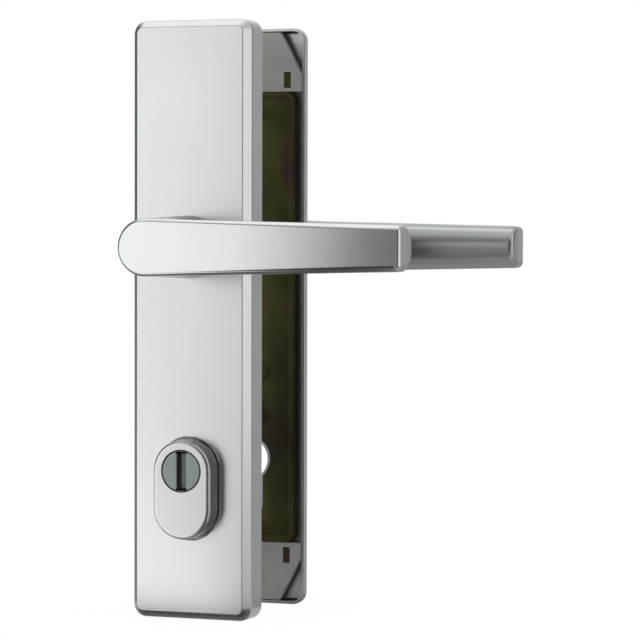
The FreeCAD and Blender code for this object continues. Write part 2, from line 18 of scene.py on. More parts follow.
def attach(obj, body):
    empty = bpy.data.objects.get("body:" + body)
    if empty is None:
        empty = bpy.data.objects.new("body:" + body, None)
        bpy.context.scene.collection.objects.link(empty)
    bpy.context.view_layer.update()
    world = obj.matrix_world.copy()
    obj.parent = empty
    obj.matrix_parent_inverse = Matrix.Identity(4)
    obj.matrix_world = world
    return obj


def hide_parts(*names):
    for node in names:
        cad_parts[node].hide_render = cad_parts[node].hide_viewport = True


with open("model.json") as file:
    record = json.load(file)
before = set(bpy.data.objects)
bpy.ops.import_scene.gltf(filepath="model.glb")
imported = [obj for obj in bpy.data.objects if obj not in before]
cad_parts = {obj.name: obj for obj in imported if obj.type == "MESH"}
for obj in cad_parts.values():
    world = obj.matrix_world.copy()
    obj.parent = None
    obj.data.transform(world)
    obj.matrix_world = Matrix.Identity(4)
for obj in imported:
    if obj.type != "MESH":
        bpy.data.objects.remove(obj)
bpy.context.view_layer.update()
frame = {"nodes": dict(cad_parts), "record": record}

# %% [markdown]
# ## Sizes
# All sizes are millimetres in the model's own frame: X runs towards the tips of the levers, Y from
# the outside of the door to the room, and Z up. They repeat the sizes of the CAD pieces that the
# new forms stand for. Only the mesh itself is in metres, so one factor turns the finished points.

# %% Sizes of the plates and levers
MM = 0.001

PLATE_HALF = 26.5
PLATE_TOP = 93.7
PLATE_BOTTOM = -154.3
PLATE_CORNER = 5.5
CHAMFER_WIDTH = 2.9
CHAMFER_DEPTH = 3.6

OUTER_FACE = -14.6
OUTER_INSIDE = -12.1
OUTER_WALL = 2.4
INNER_RIM = 49.0
INNER_FACE = 56.2
INNER_INSIDE = 55.0
INNER_WALL = 1.3

LEVER_REACH = 47.0
LEVER_LENGTH = 108.2
LEVER_THICKNESS = 15.6
LEVER_ROOT = 11.5
LEVER_TIP = 9.1
ELBOW = 9.0
COLLAR = 13.0
JOURNAL = 9.0
RUNNING_GAP = 0.3

CYLINDER_Z = -92.0
CYLINDER_RADIUS = 8.6
print("plate", PLATE_HALF * 2, "x", PLATE_TOP - PLATE_BOTTOM, "mm")

# %% [markdown]
# ## From arrays to a mesh
# Every new form is a set of surfaces. A surface is a grid of points, worked out as one numpy
# array, and the quads join neighbours of the grid. The surfaces of one piece share their border
# points, so merging doubles closes the seams, and then the normals are turned outwards. Flat
# faces are filled with triangles between their border and their holes, and are shaded flat, while
# the grids are shaded smooth.

# %% Grids, flat faces and pieces
def grid(points, closed=True):
    """Quads between neighbours in rows x columns of points; closed joins the last row to the first."""
    rows, columns = points.shape[:2]
    index = np.arange(rows * columns).reshape(rows, columns)
    if closed:
        index = np.vstack([index, index[:1]])
    quads = np.stack([index[:-1, :-1], index[1:, :-1], index[1:, 1:], index[:-1, 1:]], axis=-1)
    return points.reshape(-1, 3), quads.reshape(-1, 4).tolist(), True


def flat_face(y, outer, holes=()):
    """Triangles at one Y, inside the outer loop and outside its holes; loops are n x 2 arrays."""
    loops = [[Vector((x, z, 0)) for x, z in loop] for loop in (outer, *holes)]
    triangles = [list(t) for t in geometry.tessellate_polygon(loops)]
    xz = np.vstack([outer, *holes])
    points = np.stack([xz[:, 0], np.full(len(xz), y), xz[:, 1]], axis=-1)
    return points, triangles, False


def piece(name, surfaces, body, stands_for=(), seam=0.002):
    """One object from surfaces in millimetres: seams merged, normals outward, riding on its body."""
    starts = np.cumsum([0] + [len(points) for points, _, _ in surfaces])
    points = np.vstack([points for points, _, _ in surfaces]) * MM
    faces = [[i + start for i in face]
             for start, (_, part, _) in zip(starts, surfaces) for face in part]
    smooth = [flag for _, part, flag in surfaces for _ in part]
    mesh = bpy.data.meshes.new(name)
    mesh.from_pydata(points.tolist(), [], faces)
    mesh.polygons.foreach_set("use_smooth", smooth)
    made = bmesh.new()
    made.from_mesh(mesh)
    bmesh.ops.remove_doubles(made, verts=made.verts, dist=seam * MM)
    bmesh.ops.dissolve_degenerate(made, edges=made.edges, dist=seam * MM / 4)
    bmesh.ops.recalc_face_normals(made, faces=made.faces)
    open_edges = sum(1 for edge in made.edges if len(edge.link_faces) != 2)
    made.to_mesh(mesh)
    made.free()
    obj = bpy.data.objects.new(name, mesh)
    bpy.context.scene.collection.objects.link(obj)
    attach(obj, body)
    if stands_for:
        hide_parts(*stands_for)
    print(name, len(mesh.polygons), "faces,", open_edges, "open edges")
    return obj


# %% [markdown]
# ## Soft profiles
# Pressed, cast and machined parts have no knife edges: a soft edge of half a millimetre catches a
# thin bright line of light, and that line is most of what tells the eye how a part was made. A
# Bevel modifier could round the edges afterwards. Here the soft edge is part of the profile, so
# its size and its shading are exact. Two holding points beside each arc keep the flats flat.

# %% Round the corners of a polyline
HOLD = 0.3


def rounded(corners, radii, closed=True, steps=6, hold=HOLD):
    """Points along a polyline with round corners; a closed one also gives its outward normals.

    An arc touches both sides of its corner at radius x tan(half the turn). Its points are the
    arc's centre plus the radius times a normal that turns evenly from one side to the next.
    """
    corners = np.array(corners, float)
    before = corners - np.roll(corners, 1, axis=0)
    length = np.hypot(*before.T)
    ahead = before / length[:, None]
    after = np.roll(ahead, -1, axis=0)
    turn = np.arctan2(ahead[:, 0] * after[:, 1] - ahead[:, 1] * after[:, 0], (ahead * after).sum(axis=1))
    radii = np.broadcast_to(np.array(radii, float), turn.shape)
    trim = radii * np.tan(np.abs(turn) / 2)
    free = length - trim - np.roll(trim, 1)
    normal = np.stack([ahead[:, 1], -ahead[:, 0]], axis=-1)
    sign = np.sign(turn)[:, None]
    centre = corners - ahead * trim[:, None] - normal * sign * radii[:, None]
    angle = turn[:, None] * np.linspace(0, 1, steps + 1)
    normals = np.stack([
        normal[:, :1] * np.cos(angle) - normal[:, 1:] * np.sin(angle),
        normal[:, :1] * np.sin(angle) + normal[:, 1:] * np.cos(angle)], axis=-1)
    arcs = centre[:, None] + sign[:, None] * radii[:, None, None] * normals
    back = np.minimum(hold, free / 3)[:, None]
    forth = np.minimum(hold, np.roll(free, -1) / 3)[:, None]
    points = np.concatenate([(arcs[:, 0] - ahead * back)[:, None], arcs,
                             (arcs[:, -1] + after * forth)[:, None]], axis=1)
    normals = np.concatenate([normals[:, :1], normals, normals[:, -1:]], axis=1)
    if closed:
        return points.reshape(-1, 2), normals.reshape(-1, 2)
    inner = points[1:-1].reshape(-1, 2)
    return np.vstack([corners[:1], inner, corners[-1:]])


print("a soft 90 degree corner has", len(rounded([(0, 0), (1, 0), (1, 1)], 0.2, closed=False)), "points")

# %% [markdown]
# ### Outlines
# The pieces follow rectangles, circles, pairs of half circles and hexagons, with round corners.
# Curves could draw them too. Here an outline is two arrays, its points and its outward normals, so
# one number grows or shrinks it, which makes a gap or a wall.

# %% Outlines
def unit(angle):
    """Unit vectors at the angles, one a row."""
    return np.stack([np.cos(angle), np.sin(angle)], axis=-1)


def rectangle(half_width, low, high, radius, x=0.0, steps=6):
    """Four round corners about x, from the low to the high Z."""
    corners = [(x - half_width, low), (x + half_width, low), (x + half_width, high), (x - half_width, high)]
    return rounded(corners, radius, steps=steps)


def stadium(radius, low_z, high_z, count=33):
    """Two half circles: centre plus radius times the normal, with the centre switched halfway."""
    angle = np.concatenate([np.linspace(0, np.pi, count), np.linspace(np.pi, 2 * np.pi, count)])
    centre_z = np.repeat([high_z, low_z], count)
    normals = unit(angle)
    return normals * radius + np.stack([np.zeros_like(angle), centre_z], axis=-1), normals


def circle(radius, x=0.0, z=0.0, count=64):
    """Centre plus radius times the normal, all the way round."""
    angle = np.linspace(0, 2 * np.pi, count, endpoint=False)
    normals = unit(angle)
    return normals * radius + (x, z), normals


def hexagon(flat_radius, radius):
    """Six round corners, which lie at the flats' distance over cos(30 degrees)."""
    corner = flat_radius / cos(np.pi / 6)
    angle = np.arange(6) * 2 * np.pi / 6
    return rounded(unit(angle) * corner, radius, steps=3)


def inset(outline, distance):
    """The outline's points, each moved against its normal."""
    points, normals = outline
    return points - normals * distance


print("a circle has", len(circle(1)[0]), "points")

# %% [markdown]
# ### Bands and slabs
# A band carries a profile along an outline, as a moulding runs round a frame. A slab is a flat
# plate with straight holes. A curve with a bevel would be quicker, but it makes all edges alike.

# %% Bands and slabs
def band(outline, profile):
    """Each point moves inward by the profile's first value, to its second value as Y."""
    points, normals = outline
    inward, y = np.array(profile, float).T
    xz = points[:, None] - inward[None, :, None] * normals[:, None]
    return grid(np.stack([xz[..., 0], np.broadcast_to(y, xz.shape[:2]), xz[..., 1]], axis=-1))


def slab(outline, start, end, holes=(), edge=0.0):
    """Flat plate across Y with straight holes; a soft edge runs round both faces of its outline."""
    reach = edge * 2 + HOLD if edge else 0
    profile = [(0, start), (0, end)]
    if edge:
        profile = rounded([(reach, start), *profile, (reach, end)], edge, closed=False, steps=3)
    rim = inset(outline, reach)
    return [band(outline, profile),
            *[band(hole, [(0, start), (0, end)]) for hole in holes],
            flat_face(start, rim, [inset(hole, 0) for hole in holes]),
            flat_face(end, rim, [inset(hole, 0) for hole in holes])]


print("a plain slab has", len(slab(circle(5), 0, 1)), "surfaces")

# %% [markdown]
# ## The outer plate
# The outer plate is a cast aluminium tray, 14.6 mm deep. A wide chamfer runs round its face. It is
# one profile carried round a rectangle with round corners: up the inside wall, over the back rim,
# along the side, over a rolled shoulder, up the chamfer and onto the face. The face has a long hole
# for the guard and a six-sided one for the lever's bearing. Four pegs and a boss stand inside.

# %% A plate from one profile
FACE_STRIP = 1.2
RIM_BEND = 0.15
RIM_EDGE = 0.35
SHOULDER_ROUND = 1.7
FACE_EDGE = 0.4


def plate(face, inside, rim, wall, holes):
    """Tray from one profile round the plate's outline, and holes as (outline, soft edge) pairs."""
    outline = rectangle(PLATE_HALF, PLATE_BOTTOM, PLATE_TOP, PLATE_CORNER, steps=10)
    side = 1 if rim > face else -1
    shoulder = face + side * CHAMFER_DEPTH
    reach = CHAMFER_WIDTH + FACE_STRIP
    corners = [(wall, inside), (wall, rim), (0, rim), (0, shoulder), (CHAMFER_WIDTH, face), (reach, face)]
    radii = [0, RIM_BEND, RIM_EDGE, SHOULDER_ROUND, FACE_EDGE, 0]
    surfaces = [band(outline, rounded(corners, radii, closed=False))]
    front_loops = []
    for hole, soft in holes:
        edge = rounded([(-soft * 2, face), (0, face), (0, inside)], soft, closed=False, steps=4)
        surfaces.append(band(hole, edge))
        front_loops.append(inset(hole, -soft * 2))
    surfaces.append(flat_face(face, inset(outline, reach), front_loops))
    surfaces.append(flat_face(inside, inset(outline, wall), [inset(hole, 0) for hole, _ in holes]))
    return surfaces


print("chamfer", CHAMFER_WIDTH, "x", CHAMFER_DEPTH, "mm")

# %% Build the outer plate
CAP_RADIUS = 13.1
CAP_HEIGHT = 41.8
CAP_LOW_Z = CYLINDER_Z - (CAP_HEIGHT - CAP_RADIUS * 2)
CAP_GAP = 0.35
BEARING_FLAT = 10.55
BOSS_FLAT = 12.9
BOSS_END = -10.2
PEG_HALF = 2.5
PEG_X = 18.5
PEG_INSET = 11.5
SUNK = 0.5

guard_hole = stadium(CAP_RADIUS + CAP_GAP, CAP_LOW_Z, CYLINDER_Z)
bearing_hole = hexagon(BEARING_FLAT, 0.4)
outer_surfaces = plate(OUTER_FACE, OUTER_INSIDE, 0.0, OUTER_WALL, [(guard_hole, 0.3), (bearing_hole, 0.2)])
for x in (-PEG_X, PEG_X):
    for z in (PLATE_TOP - PEG_INSET, PLATE_BOTTOM + PEG_INSET):
        peg = rectangle(PEG_HALF, z - PEG_HALF, z + PEG_HALF, 0.3, x, steps=2)
        outer_surfaces += slab(peg, OUTER_INSIDE - SUNK, 0.0)
outer_surfaces += slab(hexagon(BOSS_FLAT, 0.6), OUTER_INSIDE - SUNK, BOSS_END, [bearing_hole])
outer_plate = piece("outer_plate", outer_surfaces, "root", ["outer_cover"])

# %% [markdown]
# ## The inner plate
# The room side has the same face, but it is a thin shell, 7.2 mm deep. Its cylinder hole has the
# profile of a European lock cylinder: a round barrel over a narrow web. A collar round that hole
# reaches back to the tray, and it shows as a pale ring in the photograph.

# %% Build the inner cover with its collar
WEB_HALF = 5.1
CYLINDER_HEIGHT = 33.2
COLLAR_WALL = 1.0
COLLAR_END = 51.5
COLLAR_SUNK = 0.3


def keyhole(growth, count=41):
    """Lock cylinder outline: a round barrel and a narrow web with a round foot, grown all round.

    The barrel's arc meets the web below its middle, by the root of radius squared less half web squared.
    """
    radius = CYLINDER_RADIUS + growth
    half_web = WEB_HALF + growth
    low = CYLINDER_Z + CYLINDER_RADIUS - CYLINDER_HEIGHT - growth
    dip = asin(sqrt(radius ** 2 - half_web ** 2) / radius)
    angle = np.concatenate([np.linspace(-dip, np.pi + dip, count), np.linspace(np.pi, 2 * np.pi, count // 2)])
    normals = unit(angle)
    sizes = np.repeat([radius, half_web], [count, count // 2])
    heights = np.repeat([CYLINDER_Z, low + half_web], [count, count // 2])
    return normals * sizes[:, None] + np.stack([np.zeros_like(heights), heights], axis=-1), normals


inner_holes = [(keyhole(0), 0.25), (bearing_hole, 0.2)]
inner_surfaces = plate(INNER_FACE, INNER_INSIDE, INNER_RIM, INNER_WALL, inner_holes)
inner_surfaces += slab(keyhole(COLLAR_WALL), COLLAR_END, INNER_INSIDE + COLLAR_SUNK, [keyhole(0)])
inner_plate = piece("inner_plate", inner_surfaces, "root", ["inner_cover"])

# %% [markdown]
# ## The pressed tray
# A steel tray sits inside the inner cover. Its lips stand towards the door, and both bends have
# the round of a press tool: sheet thickness outside and almost nothing inside. It is again one
# profile round an outline, with flat faces on both sides of its floor. Four low round nubs are
# pressed up from the floor. A Solidify modifier on a bent sheet would do it too.

# %% Sizes of the tray
PAN_HALF = 21.2
PAN_TOP = 66.3
PAN_BOTTOM = -127.5
PAN_CORNER = 3.5
PAN_SHEET = 1.9
PAN_FLOOR = 51.9
PAN_BACK = 53.8
PAN_REACH = PAN_SHEET + 1.2
COLLAR_GAP = 0.1
SCREW_HOLE = 2.55
SCREW_HEIGHTS = (57.5, -122.5)
NUB_RADIUS = 3.8
NUB_X = 5.2
NUB_RISES = (37.7, 19.3)
NUB_TOP = PAN_FLOOR - 1.2
NUB_REACH = 2.6
print("tray", PAN_HALF * 2, "x", PAN_TOP - PAN_BOTTOM, "mm")

# %% Build the tray
pan_outline = rectangle(PAN_HALF, PAN_BOTTOM, PAN_TOP, PAN_CORNER, steps=8)
pan_profile = rounded([(PAN_REACH, PAN_FLOOR), (PAN_SHEET, PAN_FLOOR), (PAN_SHEET, INNER_RIM), (0, INNER_RIM),
                       (0, PAN_BACK), (PAN_REACH, PAN_BACK)], [0, 0.5, 0.35, 0.35, 1.2, 0], closed=False)
screw_holes = [circle(SCREW_HOLE, 0, z, 24) for z in SCREW_HEIGHTS]
pan_holes = [keyhole(COLLAR_WALL + COLLAR_GAP), bearing_hole, *screw_holes]
pan_rim = inset(pan_outline, PAN_REACH)
nubs = [circle(NUB_RADIUS, x, CYLINDER_Z + rise, 28) for x in (-NUB_X, NUB_X) for rise in NUB_RISES]
nub_profile = rounded([(0, PAN_FLOOR), (0.5, NUB_TOP), (NUB_REACH, NUB_TOP)], [0, 0.7, 0], closed=False)
pan_surfaces = [band(pan_outline, pan_profile)]
pan_surfaces += [band(hole, [(0, PAN_FLOOR), (0, PAN_BACK)]) for hole in pan_holes]
pan_surfaces.append(flat_face(PAN_FLOOR, pan_rim, [inset(loop, 0) for loop in pan_holes + nubs]))
pan_surfaces.append(flat_face(PAN_BACK, pan_rim, [inset(loop, 0) for loop in pan_holes]))
for nub in nubs:
    pan_surfaces.append(band(nub, nub_profile))
    pan_surfaces.append(flat_face(NUB_TOP, inset(nub, NUB_REACH)))
steel_tray = piece("steel_tray", pan_surfaces, "root", ["inner_pan"])

# %% [markdown]
# ## The plastic end pieces
# Two moulded pieces fill the ends of the inner plate. Their outer corners are cut off on a slant,
# and each has two oblong holes for clips. They differ in which side is up and in where the clips
# are, so one function makes both as a slab.

# %% Build the end pieces
END_THICKNESS = 3.6
CUT_WIDTH = 10.0
CUT_HEIGHT = 18.6
CLIP_X = 18.15
CLIP_HALF = 1.75
CLIP_HEIGHT = 6.9
TOP_CLIP = 1.6
BOTTOM_CLIP = 1.9
END_INSET = INNER_WALL + RUNNING_GAP


def end_piece(edge, end, clip_near):
    """Moulded plate with two cut corners; edge is the side by the tray, and end the other."""
    half = PLATE_HALF - INNER_WALL - RUNNING_GAP
    up = 1 if end > edge else -1
    cut_x = half - CUT_WIDTH
    cut_z = end - up * CUT_HEIGHT
    corners = [(-half, edge), (half, edge), (half, cut_z), (cut_x, end), (-cut_x, end), (-half, cut_z)]
    outline = rounded(corners[::up], 0.6, steps=3)
    low, high = sorted((edge + up * clip_near, edge + up * (clip_near + CLIP_HEIGHT)))
    holes = [rectangle(CLIP_HALF, low, high, 0.3, x, steps=2) for x in (-CLIP_X, CLIP_X)]
    return slab(outline, INNER_RIM, INNER_RIM + END_THICKNESS, holes, edge=0.25)


top_surfaces = end_piece(PAN_TOP + RUNNING_GAP, PLATE_TOP - END_INSET, TOP_CLIP)
top_end = piece("top_end", top_surfaces, "root", ["top_insert"])
bottom_surfaces = end_piece(PAN_BOTTOM - RUNNING_GAP, PLATE_BOTTOM + END_INSET, BOTTOM_CLIP)
bottom_end = piece("bottom_end", bottom_surfaces, "root", ["bottom_insert"])

# %% [markdown]
# ## The tongues in the clip holes
# In the photograph the four oblong holes are filled with the tray's olive tone: a tongue of the
# tray snaps into each. Only the end of a tongue can be seen, so it is a small block just below the
# face of the plastic, and all four are one piece.

# %% Build the tongues
TONGUE_FRONT = INNER_RIM + 0.9
TONGUE_BACK = INNER_RIM + 3.4
TONGUE_WIDE = 1.6
TONGUE_HIGH = 3.3
TOP_CLIP_Z = PAN_TOP + RUNNING_GAP + TOP_CLIP + CLIP_HEIGHT / 2
BOTTOM_CLIP_Z = PAN_BOTTOM - RUNNING_GAP - BOTTOM_CLIP - CLIP_HEIGHT / 2
tongue_surfaces = []
for x in (-CLIP_X, CLIP_X):
    for z in (TOP_CLIP_Z, BOTTOM_CLIP_Z):
        tongue = rectangle(TONGUE_WIDE, z - TONGUE_HIGH, z + TONGUE_HIGH, 0.3, x, steps=2)
        tongue_surfaces += slab(tongue, TONGUE_FRONT, TONGUE_BACK)
tray_tongues = piece("tray_tongues", tongue_surfaces, "root")

# %% [markdown]
# ## The levers
# A lever is one casting: a flat front that tapers to a blunt tip, a back as round as a finger
# likes it, and an elbow that turns the round back into the neck. Modelling it from a cube with
# Subdivision Surface would soften the crisp front edge. So it is three grids that share borders:
#
# - the front: the outline of the flat face carried back over a soft edge and down the side walls;
# - the back: half ellipses from one side wall to the other, first in planes across the grip, then
#   in planes that fan about the inside of the elbow until they lie across the neck;
# - the neck: circles that widen evenly to the collar on the plate.
#
# All three follow the same stations along the grip's upper side. The neck tapers evenly from the
# front face to the plate, and the stations in the elbow take part in that.

# %% Sizes of a lever
ARCH_RISE = 8.1
WALL_DEPTH = LEVER_THICKNESS - ARCH_RISE
TIP_CORNER = 2.4
TIP_FLAT = 0.4
LEAN = asin(LEVER_ROOT / hypot(LEVER_LENGTH, LEVER_TIP)) - atan2(LEVER_TIP, LEVER_LENGTH)
TOUCH_X = LEVER_ROOT * sin(LEAN)
PIVOT_X = LEVER_ROOT + ELBOW
PIVOT_DEPTH = LEVER_THICKNESS + ELBOW
NECK_END = LEVER_REACH - RUNNING_GAP
PIVOT_GROWTH = (COLLAR / LEVER_ROOT - 1) * PIVOT_DEPTH / NECK_END
print("sides lean in by", round(np.degrees(LEAN), 2), "degrees")

# %% Stations along one long side
def side_height(x):
    """Half height of the grip: the root's circle, then the straight side that touches it."""
    on_circle = np.sqrt(np.maximum(LEVER_ROOT ** 2 - x ** 2, 0))
    return np.where(x < TOUCH_X, on_circle, (LEVER_ROOT - x * sin(LEAN)) / cos(LEAN))


def upper_side():
    """x, z, normal, wall depth, arch rise, arch direction and growth of each station.

    The stations run from the neck to the tip. In the elbow the wall's end goes from the neck's side
    to the grip's on a fan about the pivot: its distance from the pivot eases from the neck's centre
    line to the grip's wall depth. The growth is what the neck's taper adds there, as a factor.
    """
    fan = np.radians(np.linspace(90, 0, 33))
    grip_distance = PIVOT_DEPTH - WALL_DEPTH
    distance = grip_distance + (PIVOT_X - grip_distance) * np.sin(fan) ** 2
    grip_x = np.linspace(PIVOT_X, LEVER_LENGTH - TIP_CORNER, 46)[1:]
    grip_x[-1] -= 0.01
    x = np.concatenate([PIVOT_X - distance * np.sin(fan), grip_x])
    z = side_height(x)
    tilt = np.where(x < TOUCH_X, np.arcsin(np.clip(x / LEVER_ROOT, -1, 1)), LEAN)
    normals = np.stack([np.sin(tilt), np.cos(tilt)], axis=-1)
    rise = np.concatenate([distance - ELBOW, np.full(len(grip_x), ARCH_RISE)])

    corner = np.linspace(np.pi / 2 - LEAN, 0, 9)
    centre_x = LEVER_LENGTH - TIP_CORNER
    centre_z = (LEVER_ROOT - TIP_CORNER - centre_x * sin(LEAN)) / cos(LEAN)
    turned = unit(corner)
    tip = turned * TIP_CORNER + (centre_x, centre_z)
    x = np.concatenate([x, tip[:, 0], [LEVER_LENGTH]])
    z = np.concatenate([z, tip[:, 1], tip[-1:, 1] - TIP_FLAT])
    normals = np.vstack([normals, turned, turned[-1:]])
    tip_rise = ARCH_RISE - TIP_CORNER * (1 - np.sin(corner))
    rise = np.concatenate([rise, tip_rise, tip_rise[-1:] - TIP_FLAT])
    beyond = len(x) - len(fan)
    depth = np.concatenate([PIVOT_DEPTH - distance * np.cos(fan), np.full(beyond, WALL_DEPTH)])
    towards = np.concatenate([fan, np.zeros(beyond)])
    growth = np.concatenate([1 + PIVOT_GROWTH * np.sin(fan) ** 2, np.ones(beyond)])
    return x, z, normals, depth, rise, towards, growth


STATIONS = upper_side()
TIP_END_Z = STATIONS[1][-1]
TIP_Z = np.linspace(TIP_END_Z, -TIP_END_Z, 12)[1:-1]
print("lever stations", len(STATIONS[0]), "and", len(TIP_Z), "across the tip")

# %% [markdown]
# ### The front and its soft edge
# The line between front and side wall is what the eye follows on this lever. It is a thin edge by
# the neck, grows into a clear bevel, and is thin again at the blunt tip. A Bevel modifier would
# need a weight for each vertex. Here each point has its own width.

# %% Front and side walls
ROOT_EDGE = 1.3
FRONT_EDGE = 2.4
TIP_EDGE = 1.1
EDGE_RUN = LEVER_LENGTH - 20
FLAT_STRIP = 0.35
BEVEL = rounded([(1.3, 0), (0.75, 0), (0, 1), (0, 1.25)], [0, 0.45, 0.45, 0], closed=False, steps=4, hold=0.1)


def front_outline():
    """Points, outward normals, wall depth and growth all round the flat front.

    The upper side runs to the tip, the tip goes straight down, the lower side mirrors the upper
    one, and half a circle closes the loop.
    """
    x, z, normals, depth, _, _, growth = STATIONS
    angle = np.linspace(1.5 * np.pi, 0.5 * np.pi, 41)[1:-1]
    root = unit(angle)
    mirror = np.array([1, -1])
    upper = np.stack([x, z], axis=-1)
    tip = np.stack([np.full(len(TIP_Z), LEVER_LENGTH), TIP_Z], axis=-1)
    points = np.vstack([upper, tip, (upper * mirror)[::-1], root * LEVER_ROOT])
    outward = np.vstack([normals, np.tile([1.0, 0.0], (len(TIP_Z), 1)), (normals * mirror)[::-1], root])

    def all_round(along, at_tip, at_root):
        return np.concatenate([along, np.full(len(TIP_Z), at_tip), along[::-1], np.full(len(root), at_root)])

    return points, outward, all_round(depth, WALL_DEPTH, PIVOT_DEPTH), all_round(growth, 1, 1 + PIVOT_GROWTH)


def front_and_walls():
    """x, depth and z of rows from the flat front over the soft edge to the end of the side walls.

    A point moves inward and back by the bevel times the edge's width there. Eight more rows go
    straight to the wall's end, and each row takes its share of the growth by its depth.
    """
    points, outward, wall, growth = front_outline()
    grown = np.clip(points[:, 0] / EDGE_RUN, 0, 1)
    edge = ROOT_EDGE + (FRONT_EDGE - ROOT_EDGE) * grown
    edge += (TIP_EDGE - edge) * np.clip(outward[:, 0], 0, 1) ** 2 * (points[:, 0] > PIVOT_X)
    inward = edge[:, None] * BEVEL[:, 0]
    inward[:, 0] = edge + FLAT_STRIP
    depth = edge[:, None] * BEVEL[:, 1]
    rows = np.linspace(0, 1, 9)[1:]
    last = depth[:, -1:]
    depth = np.concatenate([depth, last + (wall[:, None] - last) * rows], axis=1)
    inward = np.concatenate([inward, np.zeros((len(edge), len(rows)))], axis=1)
    xz = points[:, None] - inward[..., None] * outward[:, None]
    stretch = 1 + (growth[:, None] - 1) * depth / wall[:, None]
    return xz[..., 0] * np.where(points[:, :1] < 0, stretch, 1), depth, xz[..., 1] * stretch


print("front and walls", front_and_walls()[0].shape)

# %% [markdown]
# ### The back, the neck and the journal
# At the end of the elbow the back's half ellipses have become half circles, and there the neck's
# circles begin. Behind the collar a journal turns in the plate's bearing, and its square socket
# takes the spindle.

# %% Back and neck
SWING = np.linspace(0, np.pi, 41)
NECK_ANGLE = np.concatenate([SWING, np.pi + SWING[1:-1]])
COLLAR_FACE = COLLAR - 0.3


def round_back():
    """Half ellipses: z x cos(swing), and rise x sin(swing) out in the direction of the fan."""
    x, z, _, depth, rise, towards, growth = STATIONS
    out = (rise * growth)[:, None] * np.sin(SWING)
    arch_x = x[:, None] + out * np.sin(towards)[:, None]
    arch_depth = depth[:, None] + out * np.cos(towards)[:, None]
    return arch_x, arch_depth, (z * growth)[:, None] * np.cos(SWING)


def tapered_neck():
    """Circles about the spindle: the radius grows evenly with the depth, up to a soft edge."""
    straight = PIVOT_DEPTH + (NECK_END - 0.5 - PIVOT_DEPTH) * np.linspace(0, 1, 17)
    depth = np.concatenate([straight, [NECK_END - 0.2, NECK_END]])
    widened = LEVER_ROOT + (COLLAR - LEVER_ROOT) * straight / NECK_END
    radius = np.concatenate([widened, [COLLAR - 0.06, COLLAR_FACE]])
    across = radius * np.sin(NECK_ANGLE)[:, None]
    return across, np.broadcast_to(depth, across.shape), radius * np.cos(NECK_ANGLE)[:, None]


print("the neck widens to", round(tapered_neck()[0].max(), 2), "mm")

# %% Build the levers
SOCKET_HALF = 5.1
OUTER_END = -1.0
INNER_END = 49.3


def journal(plate_y, end):
    """A round band from the collar's flat face, with a square band for the socket inside it."""
    collar = np.stack([np.sin(NECK_ANGLE), np.cos(NECK_ANGLE)], axis=-1) * COLLAR_FACE
    socket = rectangle(SOCKET_HALF, -SOCKET_HALF, SOCKET_HALF, 0.3, steps=2)
    shaft = circle(JOURNAL)
    return [
        flat_face(plate_y, collar, [inset(shaft, 0)]), band(shaft, [(0, plate_y), (0, end)]),
        flat_face(end, inset(shaft, 0), [inset(socket, 0)]), band(socket, [(0, end), (0, plate_y)]),
        flat_face(plate_y, inset(socket, 0))]


def lever(face, side, journal_end):
    """Surfaces of one lever: Y is that of the front plus or minus the depth."""
    def place(x, depth, z):
        return np.stack([x, face + side * depth, z], axis=-1)

    front = place(*front_and_walls())
    back = place(*round_back())
    neck = place(*tapered_neck())
    tip_z = np.concatenate([[TIP_END_Z], TIP_Z, [-TIP_END_Z]])
    tip_wall = place(np.full(len(tip_z), LEVER_LENGTH), np.full(len(tip_z), WALL_DEPTH), tip_z)
    tip_loop = np.vstack([tip_wall, back[-1][::-1][1:-1]])
    caps = [(loop, [list(range(len(loop)))], False) for loop in (front[:, 0], tip_loop)]
    return [grid(front), grid(back, closed=False), grid(neck), *caps,
            *journal(face + side * NECK_END, journal_end)]


outer_surfaces = lever(OUTER_FACE - LEVER_REACH, 1, OUTER_END)
outer_handle = piece("outer_handle", outer_surfaces, "levers", ["outer_lever"])
inner_surfaces = lever(INNER_FACE + LEVER_REACH, -1, INNER_END)
inner_handle = piece("inner_handle", inner_surfaces, "levers", ["inner_lever"])

# %% [markdown]
# ## The guard over the lock cylinder
# The guard is a small die cast cap with a slight draft, so that it leaves its mould. Its flange
# and ears lie hidden behind the plate and keep it from falling out. The cap is one profile round
# two half circles, and the flange is a slab.

# %% Build the guard
CAP_FRONT = -23.2
CAP_INSIDE = -20.7
CAP_WALL = 2.2
CAP_DRAFT = 0.5
CAP_REACH = 2.35
FLANGE_FRONT = -12.0
FLANGE_BACK = -10.5
EAR_END = 22.2
EAR_Z = (CYLINDER_Z + CAP_LOW_Z) / 2
EAR_LOW = EAR_Z - 3.5
EAR_HIGH = EAR_Z + 3.5
DISC_HOLE = 8.78
HOLE_REACH = 0.35

